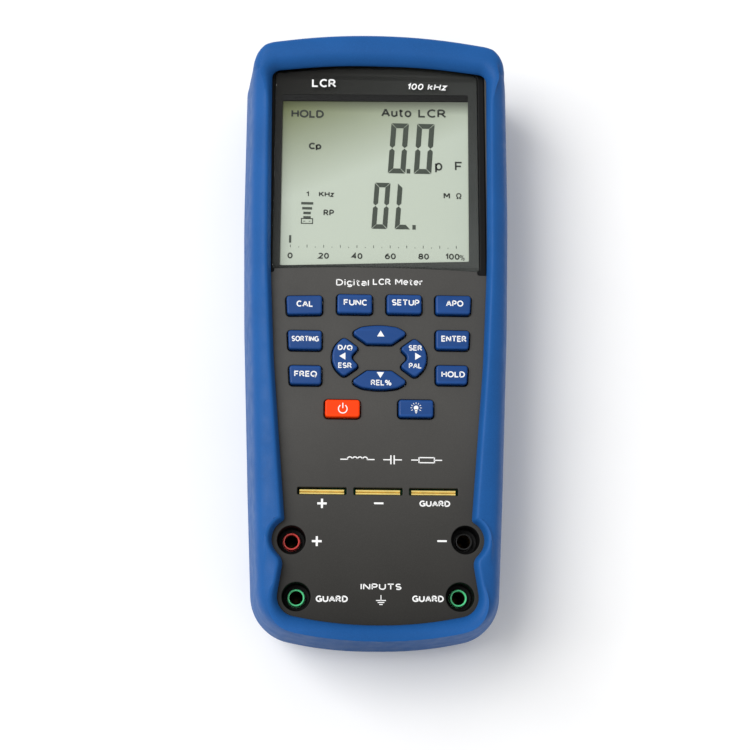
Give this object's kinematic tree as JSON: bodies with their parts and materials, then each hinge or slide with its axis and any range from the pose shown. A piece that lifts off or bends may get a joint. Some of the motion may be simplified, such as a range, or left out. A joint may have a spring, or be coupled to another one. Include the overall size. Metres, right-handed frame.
{
  "type": "lcr meter",
  "caption": "Handheld LCR meter in a rubber boot, with display, spring keys, component slots, shrouded test-lead sockets, folding stand and battery door.",
  "frame": {"origin": "centre of the plane the meter rests on when it lies on its back", "axes": "+Z out of the face, +Y towards the display end, +X to the right of a person reading the display"},
  "size_m": [0.088, 0.2, 0.041],
  "materials": {
    "boot_rubber": "satin elastomer",
    "front_case_plastic": "fine spark-eroded texture",
    "rear_case_plastic": "fine spark-eroded texture",
    "stand_plastic": "satin moulded",
    "key_plastic_blue": "satin moulded",
    "key_plastic_orange": "satin moulded",
    "lens_acrylic": "polished",
    "gasket_foam": "foam",
    "lcd_frame_plastic": "moulded",
    "lcd_cell": "matt polariser",
    "backlight_acrylic": "polished",
    "zebra_rubber": "soft",
    "board_laminate": "solder mask",
    "keypad_silicone": "soft",
    "contact_brass": "bright",
    "jack_plastic_red": "moulded",
    "jack_plastic_black": "moulded",
    "jack_plastic_green": "moulded",
    "screw_steel": "zinc plated",
    "battery_steel": "plain painted can",
    "snap_vinyl": "vinyl",
    "lead_red": "insulation",
    "lead_black": "insulation",
    "buzzer_plastic": "moulded",
    "chip_epoxy": "moulded"
  },
  "bodies": {
    "meter": {"protective_boot": "boot_rubber", "front_case": "front_case_plastic", "rear_case": "rear_case_plastic", "display_lens": "lens_acrylic", "lens_gasket": "gasket_foam", "lcd_frame": "lcd_frame_plastic", "lcd_glass": "lcd_cell", "backlight_panel": "backlight_acrylic", "zebra_strip_upper": "zebra_rubber", "zebra_strip_lower": "zebra_rubber", "main_board": "board_laminate", "keypad_mat": "keypad_silicone", "battery_9v": "battery_steel", "battery_snap": "snap_vinyl", "battery_lead_red": "lead_red", "battery_lead_black": "lead_black", "buzzer": "buzzer_plastic", "processor_chip": "chip_epoxy", "analog_chip": "chip_epoxy", "crystal_can": "screw_steel", "slot_contact_plus": "contact_brass", "slot_contact_minus": "contact_brass", "slot_contact_guard": "contact_brass", "jack_sleeve_plus": "jack_plastic_red", "jack_barrel_plus": "contact_brass", "jack_sleeve_minus": "jack_plastic_black", "jack_barrel_minus": "contact_brass", "jack_sleeve_guard_left": "jack_plastic_green", "jack_barrel_guard_left": "contact_brass", "jack_sleeve_guard_right": "jack_plastic_green", "jack_barrel_guard_right": "contact_brass", "case_screw_upper_left": "screw_steel", "board_screw_upper_left": "screw_steel", "case_screw_upper_right": "screw_steel", "board_screw_upper_right": "screw_steel", "case_screw_lower_left": "screw_steel", "board_screw_lower_left": "screw_steel", "case_screw_lower_right": "screw_steel", "board_screw_lower_right": "screw_steel"},
    "key_cal": {"key_cal": "key_plastic_blue"},
    "key_func": {"key_func": "key_plastic_blue"},
    "key_setup": {"key_setup": "key_plastic_blue"},
    "key_apo": {"key_apo": "key_plastic_blue"},
    "key_sorting": {"key_sorting": "key_plastic_blue"},
    "key_enter": {"key_enter": "key_plastic_blue"},
    "key_freq": {"key_freq": "key_plastic_blue"},
    "key_hold": {"key_hold": "key_plastic_blue"},
    "key_up": {"key_up": "key_plastic_blue"},
    "key_down": {"key_down": "key_plastic_blue"},
    "key_left": {"key_left": "key_plastic_blue"},
    "key_right": {"key_right": "key_plastic_blue"},
    "key_power": {"key_power": "key_plastic_orange"},
    "key_light": {"key_light": "key_plastic_blue"},
    "tilt_stand": {"tilt_stand": "stand_plastic"},
    "battery_door": {"battery_cover": "rear_case_plastic", "cover_screw_upper": "screw_steel", "cover_screw_lower": "screw_steel"}
  },
  "joints": [
    {"name": "key_cal_press", "type": "slide", "parent": "meter", "child": "key_cal", "axis": [0, 0, -1], "range_m": [0, 0.0008], "stiffness_N_per_m": 200},
    {"name": "key_func_press", "type": "slide", "parent": "meter", "child": "key_func", "axis": [0, 0, -1], "range_m": [0, 0.0008], "stiffness_N_per_m": 200},
    {"name": "key_setup_press", "type": "slide", "parent": "meter", "child": "key_setup", "axis": [0, 0, -1], "range_m": [0, 0.0008], "stiffness_N_per_m": 200},
    {"name": "key_apo_press", "type": "slide", "parent": "meter", "child": "key_apo", "axis": [0, 0, -1], "range_m": [0, 0.0008], "stiffness_N_per_m": 200},
    {"name": "key_sorting_press", "type": "slide", "parent": "meter", "child": "key_sorting", "axis": [0, 0, -1], "range_m": [0, 0.0008], "stiffness_N_per_m": 200},
    {"name": "key_enter_press", "type": "slide", "parent": "meter", "child": "key_enter", "axis": [0, 0, -1], "range_m": [0, 0.0008], "stiffness_N_per_m": 200},
    {"name": "key_freq_press", "type": "slide", "parent": "meter", "child": "key_freq", "axis": [0, 0, -1], "range_m": [0, 0.0008], "stiffness_N_per_m": 200},
    {"name": "key_hold_press", "type": "slide", "parent": "meter", "child": "key_hold", "axis": [0, 0, -1], "range_m": [0, 0.0008], "stiffness_N_per_m": 200},
    {"name": "key_up_press", "type": "slide", "parent": "meter", "child": "key_up", "axis": [0, 0, -1], "range_m": [0, 0.0008], "stiffness_N_per_m": 200},
    {"name": "key_down_press", "type": "slide", "parent": "meter", "child": "key_down", "axis": [0, 0, -1], "range_m": [0, 0.0008], "stiffness_N_per_m": 200},
    {"name": "key_left_press", "type": "slide", "parent": "meter", "child": "key_left", "axis": [0, 0, -1], "range_m": [0, 0.0008], "stiffness_N_per_m": 200},
    {"name": "key_right_press", "type": "slide", "parent": "meter", "child": "key_right", "axis": [0, 0, -1], "range_m": [0, 0.0008], "stiffness_N_per_m": 200},
    {"name": "key_power_press", "type": "slide", "parent": "meter", "child": "key_power", "axis": [0, 0, -1], "range_m": [0, 0.0008], "stiffness_N_per_m": 200},
    {"name": "key_light_press", "type": "slide", "parent": "meter", "child": "key_light", "axis": [0, 0, -1], "range_m": [0, 0.0008], "stiffness_N_per_m": 200},
    {"name": "tilt_stand_hinge", "type": "hinge", "parent": "meter", "child": "tilt_stand", "pos_m": [0, 0.014, 0.0027], "axis": [1, 0, 0], "range_deg": [0, 70]},
    {"name": "battery_door_lift", "type": "slide", "parent": "meter", "child": "battery_door", "axis": [0, 0, -1], "range_m": [0, 0.012]}
  ]
}
